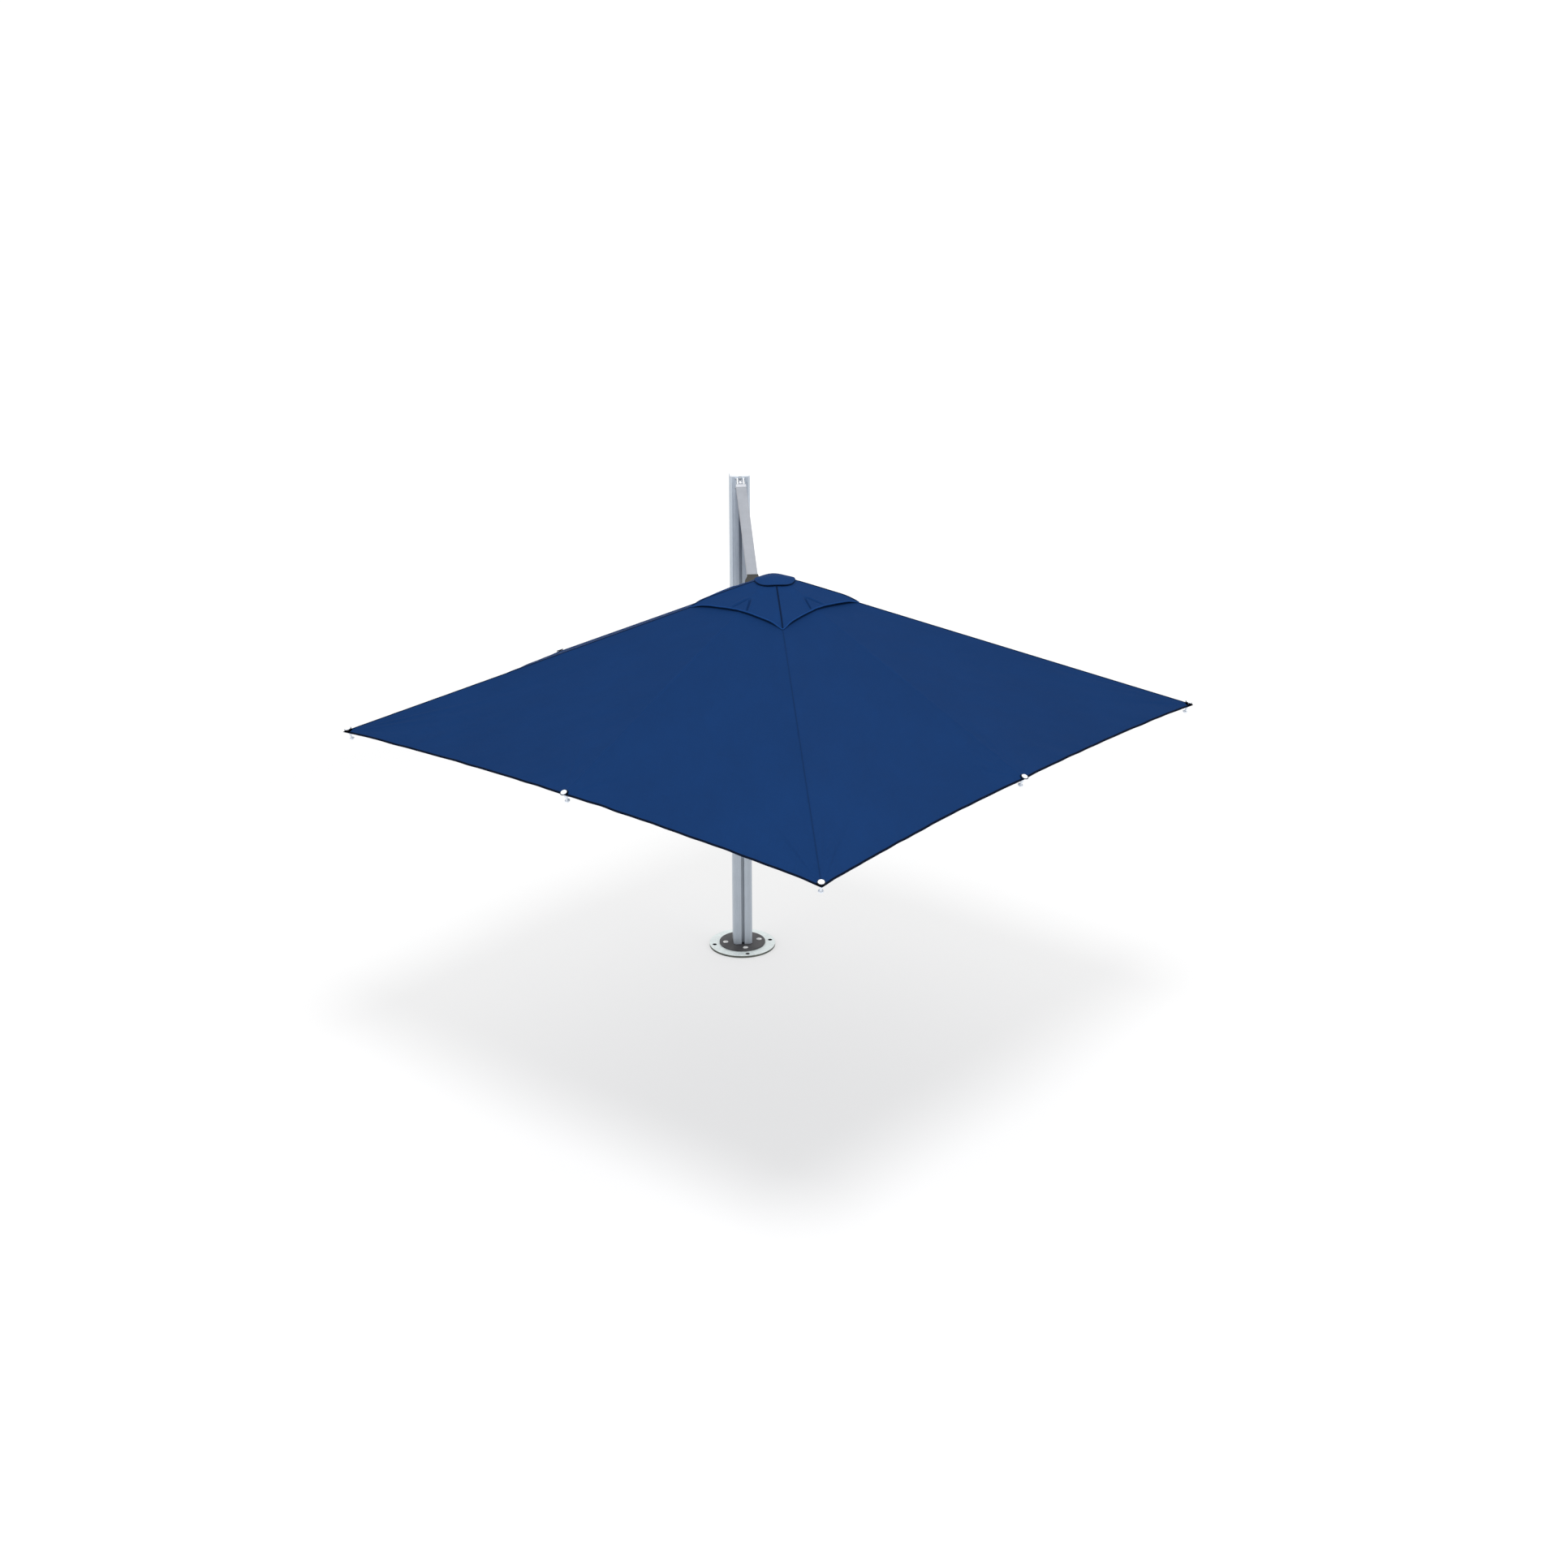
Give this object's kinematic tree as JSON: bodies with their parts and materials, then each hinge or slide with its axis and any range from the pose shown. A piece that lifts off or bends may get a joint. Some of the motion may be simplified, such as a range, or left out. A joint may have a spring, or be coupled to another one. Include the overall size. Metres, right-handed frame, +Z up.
{
  "type": "cantilever parasol",
  "caption": "Square fabric canopy with a vent cap, hung beside a slotted aluminium mast on a folding link and boom, turning on a round floor plate.",
  "frame": {"origin": "centre of the underside of the base plate, on the mast's axis", "axes": "+Z up along the mast, -Y the way the arm reaches at rest, +X to the right seen from the front"},
  "size_m": [4.2838, 4.5968, 3.0385],
  "materials": {
    "galvanised_plate": "hot-dip galvanised, mottled",
    "dark_casting": "dark grey textured coating",
    "bright_steel": "stainless, satin",
    "anodised_mast": "silver anodised extrusion",
    "pale_cap": "pale satin cap",
    "pale_bracket": "light satin coated bracket",
    "black_polymer": "black glass-filled nylon",
    "grey_arm": "light grey satin coated",
    "dark_fork": "dark bronze-grey coated casting",
    "dark_alloy": "dark grey coated casting",
    "navy_cap": "disc covered in navy canvas",
    "navy_canvas": "solution-dyed acrylic canvas, matte",
    "anodised_rib": "silver anodised",
    "white_tip": "white moulded cap"
  },
  "bodies": {
    "base": {"base_plate": "galvanised_plate", "foot_flange": "dark_casting", "flange_bolt_1": "bright_steel", "flange_bolt_2": "bright_steel", "flange_bolt_3": "bright_steel", "flange_bolt_4": "bright_steel", "swivel_spindle": "bright_steel"},
    "mast": {"mast_profile": "anodised_mast", "mast_cap": "pale_cap", "top_bracket": "pale_bracket", "top_pin": "bright_steel", "bush_lower": "black_polymer", "bush_upper": "black_polymer"},
    "link": {"link_bar": "grey_arm", "link_fork": "dark_fork", "fork_pin_right": "bright_steel", "fork_pin_left": "bright_steel"},
    "boom": {"boom_rail_right": "grey_arm", "boom_rail_left": "grey_arm", "boom_spacer_lower": "black_polymer", "boom_spacer_upper": "black_polymer"},
    "drive_right": {"drive_link_right": "bright_steel"},
    "drive_left": {"drive_link_left": "bright_steel"},
    "carriage": {"carriage": "dark_alloy", "slide_block": "black_polymer", "carriage_pin": "bright_steel", "carriage_handle": "black_polymer"},
    "knob": {"clamp_knob": "black_polymer"},
    "crown": {"crown_hub": "dark_alloy", "hub_pin": "bright_steel", "crown_cap": "navy_cap", "canopy_fabric": "navy_canvas", "vent_cap": "navy_canvas"},
    "rib_front": {"rib_front": "anodised_rib", "rib_tip_front": "white_tip"},
    "stretcher_front": {"stretcher_front": "anodised_rib"},
    "rib_right": {"rib_right": "anodised_rib", "rib_tip_right": "white_tip"},
    "stretcher_right": {"stretcher_right": "anodised_rib"},
    "rib_back": {"rib_back": "anodised_rib", "rib_tip_back": "white_tip"},
    "stretcher_back": {"stretcher_back": "anodised_rib"},
    "rib_left": {"rib_left": "anodised_rib", "rib_tip_left": "white_tip"},
    "stretcher_left": {"stretcher_left": "anodised_rib"},
    "rib_front_right": {"rib_front_right": "anodised_rib", "rib_tip_front_right": "white_tip"},
    "stretcher_front_right": {"stretcher_front_right": "anodised_rib"},
    "rib_back_right": {"rib_back_right": "anodised_rib", "rib_tip_back_right": "white_tip"},
    "stretcher_back_right": {"stretcher_back_right": "anodised_rib"},
    "rib_back_left": {"rib_back_left": "anodised_rib", "rib_tip_back_left": "white_tip"},
    "stretcher_back_left": {"stretcher_back_left": "anodised_rib"},
    "rib_front_left": {"rib_front_left": "anodised_rib", "rib_tip_front_left": "white_tip"},
    "stretcher_front_left": {"stretcher_front_left": "anodised_rib"},
    "runner": {"runner": "dark_alloy"}
  },
  "joints": [
    {"name": "mast_turn", "type": "hinge", "parent": "base", "child": "mast", "pos_m": [0, 0, 0], "axis": [0, 0, 1], "continuous": true},
    {"name": "arm_fold", "type": "hinge", "parent": "mast", "child": "link", "pos_m": [0, -0.1, 2.97], "axis": [1, 0, 0], "range_deg": [0, 58], "deforming": ["canopy_fabric", "vent_cap"]},
    {"name": "boom_fold", "type": "hinge", "parent": "link", "child": "boom", "pos_m": [0, -1.25544, 2.50317], "axis": [1, 0, 0], "range_deg": [-118, 1]},
    {"name": "carriage_pivot", "type": "hinge", "parent": "boom", "child": "carriage", "pos_m": [0, -0.1, 2.03634], "axis": [1, 0, 0], "range_deg": [-1, 60]},
    {"name": "crown_pivot", "type": "hinge", "parent": "boom", "child": "crown", "pos_m": [0, -2.25, 2.905], "axis": [1, 0, 0], "range_deg": [-1, 60]},
    {"name": "drive_pivot_right", "type": "hinge", "parent": "boom", "child": "drive_right", "pos_m": [0.0321, -1.68256, 2.67574], "axis": [1, 0, 0], "range_deg": [-1, 118]},
    {"name": "drive_pivot_left", "type": "hinge", "parent": "boom", "child": "drive_left", "pos_m": [-0.0321, -1.68256, 2.67574], "axis": [1, 0, 0], "range_deg": [-1, 118]},
    {"name": "knob_turn", "type": "hinge", "parent": "carriage", "child": "knob", "pos_m": [0, -0.0748, 1.98434], "axis": [0, -1, 0], "range_deg": [0, 360]},
    {"name": "rib_fold_front", "type": "hinge", "parent": "crown", "child": "rib_front", "pos_m": [0, -2.325, 2.962], "axis": [1, 0, 0], "range_deg": [-1, 66]},
    {"name": "stretcher_fold_front", "type": "hinge", "parent": "rib_front", "child": "stretcher_front", "pos_m": [0, -2.84525, 2.78357], "axis": [1, 0, 0], "range_deg": [-132, 1]},
    {"name": "rib_fold_right", "type": "hinge", "parent": "crown", "child": "rib_right", "pos_m": [0.075, -2.25, 2.962], "axis": [0, 1, 0], "range_deg": [-1, 66]},
    {"name": "stretcher_fold_right", "type": "hinge", "parent": "rib_right", "child": "stretcher_right", "pos_m": [0.59525, -2.25, 2.78357], "axis": [0, 1, 0], "range_deg": [-132, 1]},
    {"name": "rib_fold_back", "type": "hinge", "parent": "crown", "child": "rib_back", "pos_m": [0, -2.175, 2.962], "axis": [-1, 0, 0], "range_deg": [-1, 66]},
    {"name": "stretcher_fold_back", "type": "hinge", "parent": "rib_back", "child": "stretcher_back", "pos_m": [0, -1.65475, 2.78357], "axis": [-1, 0, 0], "range_deg": [-132, 1]},
    {"name": "rib_fold_left", "type": "hinge", "parent": "crown", "child": "rib_left", "pos_m": [-0.075, -2.25, 2.962], "axis": [0, -1, 0], "range_deg": [-1, 66]},
    {"name": "stretcher_fold_left", "type": "hinge", "parent": "rib_left", "child": "stretcher_left", "pos_m": [-0.59525, -2.25, 2.78357], "axis": [0, -1, 0], "range_deg": [-132, 1]},
    {"name": "rib_fold_front_right", "type": "hinge", "parent": "crown", "child": "rib_front_right", "pos_m": [0.05303, -2.30303, 2.962], "axis": [0.7071, 0.7071, 0], "range_deg": [-1, 60]},
    {"name": "stretcher_fold_front_right", "type": "hinge", "parent": "rib_front_right", "child": "stretcher_front_right", "pos_m": [0.46579, -2.71579, 2.69018], "axis": [0.7071, 0.7071, 0], "range_deg": [-120, 1]},
    {"name": "rib_fold_back_right", "type": "hinge", "parent": "crown", "child": "rib_back_right", "pos_m": [0.05303, -2.19697, 2.962], "axis": [-0.7071, 0.7071, 0], "range_deg": [-1, 60]},
    {"name": "stretcher_fold_back_right", "type": "hinge", "parent": "rib_back_right", "child": "stretcher_back_right", "pos_m": [0.46579, -1.78421, 2.69018], "axis": [-0.7071, 0.7071, 0], "range_deg": [-120, 1]},
    {"name": "rib_fold_back_left", "type": "hinge", "parent": "crown", "child": "rib_back_left", "pos_m": [-0.05303, -2.19697, 2.962], "axis": [-0.7071, -0.7071, 0], "range_deg": [-1, 60]},
    {"name": "stretcher_fold_back_left", "type": "hinge", "parent": "rib_back_left", "child": "stretcher_back_left", "pos_m": [-0.46579, -1.78421, 2.69018], "axis": [-0.7071, -0.7071, 0], "range_deg": [-120, 1]},
    {"name": "rib_fold_front_left", "type": "hinge", "parent": "crown", "child": "rib_front_left", "pos_m": [-0.05303, -2.30303, 2.962], "axis": [0.7071, -0.7071, 0], "range_deg": [-1, 60]},
    {"name": "stretcher_fold_front_left", "type": "hinge", "parent": "rib_front_left", "child": "stretcher_front_left", "pos_m": [-0.46579, -2.71579, 2.69018], "axis": [0.7071, -0.7071, 0], "range_deg": [-120, 1]},
    {"name": "runner_travel", "type": "hinge", "parent": "stretcher_front", "child": "runner", "pos_m": [0, -2.325, 2.60515], "axis": [1, 0, 0], "range_deg": [-1, 67]}
  ],
  "couplings": [
    {"joint": "boom_fold", "follows": "arm_fold", "ratio": -2},
    {"joint": "carriage_pivot", "follows": "arm_fold", "ratio": 1},
    {"joint": "crown_pivot", "follows": "arm_fold", "ratio": 1},
    {"joint": "drive_pivot_right", "follows": "arm_fold", "ratio": 2.0048},
    {"joint": "drive_pivot_left", "follows": "arm_fold", "ratio": 2.0048},
    {"joint": "rib_fold_front", "follows": "arm_fold", "ratio": 1.1219},
    {"joint": "stretcher_fold_front", "follows": "arm_fold", "ratio": -2.2438},
    {"joint": "rib_fold_right", "follows": "arm_fold", "ratio": 1.1219},
    {"joint": "stretcher_fold_right", "follows": "arm_fold", "ratio": -2.2438},
    {"joint": "rib_fold_back", "follows": "arm_fold", "ratio": 1.1219},
    {"joint": "stretcher_fold_back", "follows": "arm_fold", "ratio": -2.2438},
    {"joint": "rib_fold_left", "follows": "arm_fold", "ratio": 1.1219},
    {"joint": "stretcher_fold_left", "follows": "arm_fold", "ratio": -2.2438},
    {"joint": "rib_fold_front_right", "follows": "arm_fold", "ratio": 1.0178},
    {"joint": "stretcher_fold_front_right", "follows": "arm_fold", "ratio": -2.0355},
    {"joint": "rib_fold_back_right", "follows": "arm_fold", "ratio": 1.0178},
    {"joint": "stretcher_fold_back_right", "follows": "arm_fold", "ratio": -2.0355},
    {"joint": "rib_fold_back_left", "follows": "arm_fold", "ratio": 1.0178},
    {"joint": "stretcher_fold_back_left", "follows": "arm_fold", "ratio": -2.0355},
    {"joint": "rib_fold_front_left", "follows": "arm_fold", "ratio": 1.0178},
    {"joint": "stretcher_fold_front_left", "follows": "arm_fold", "ratio": -2.0355},
    {"joint": "runner_travel", "follows": "arm_fold", "ratio": 1.1219}
  ]
}
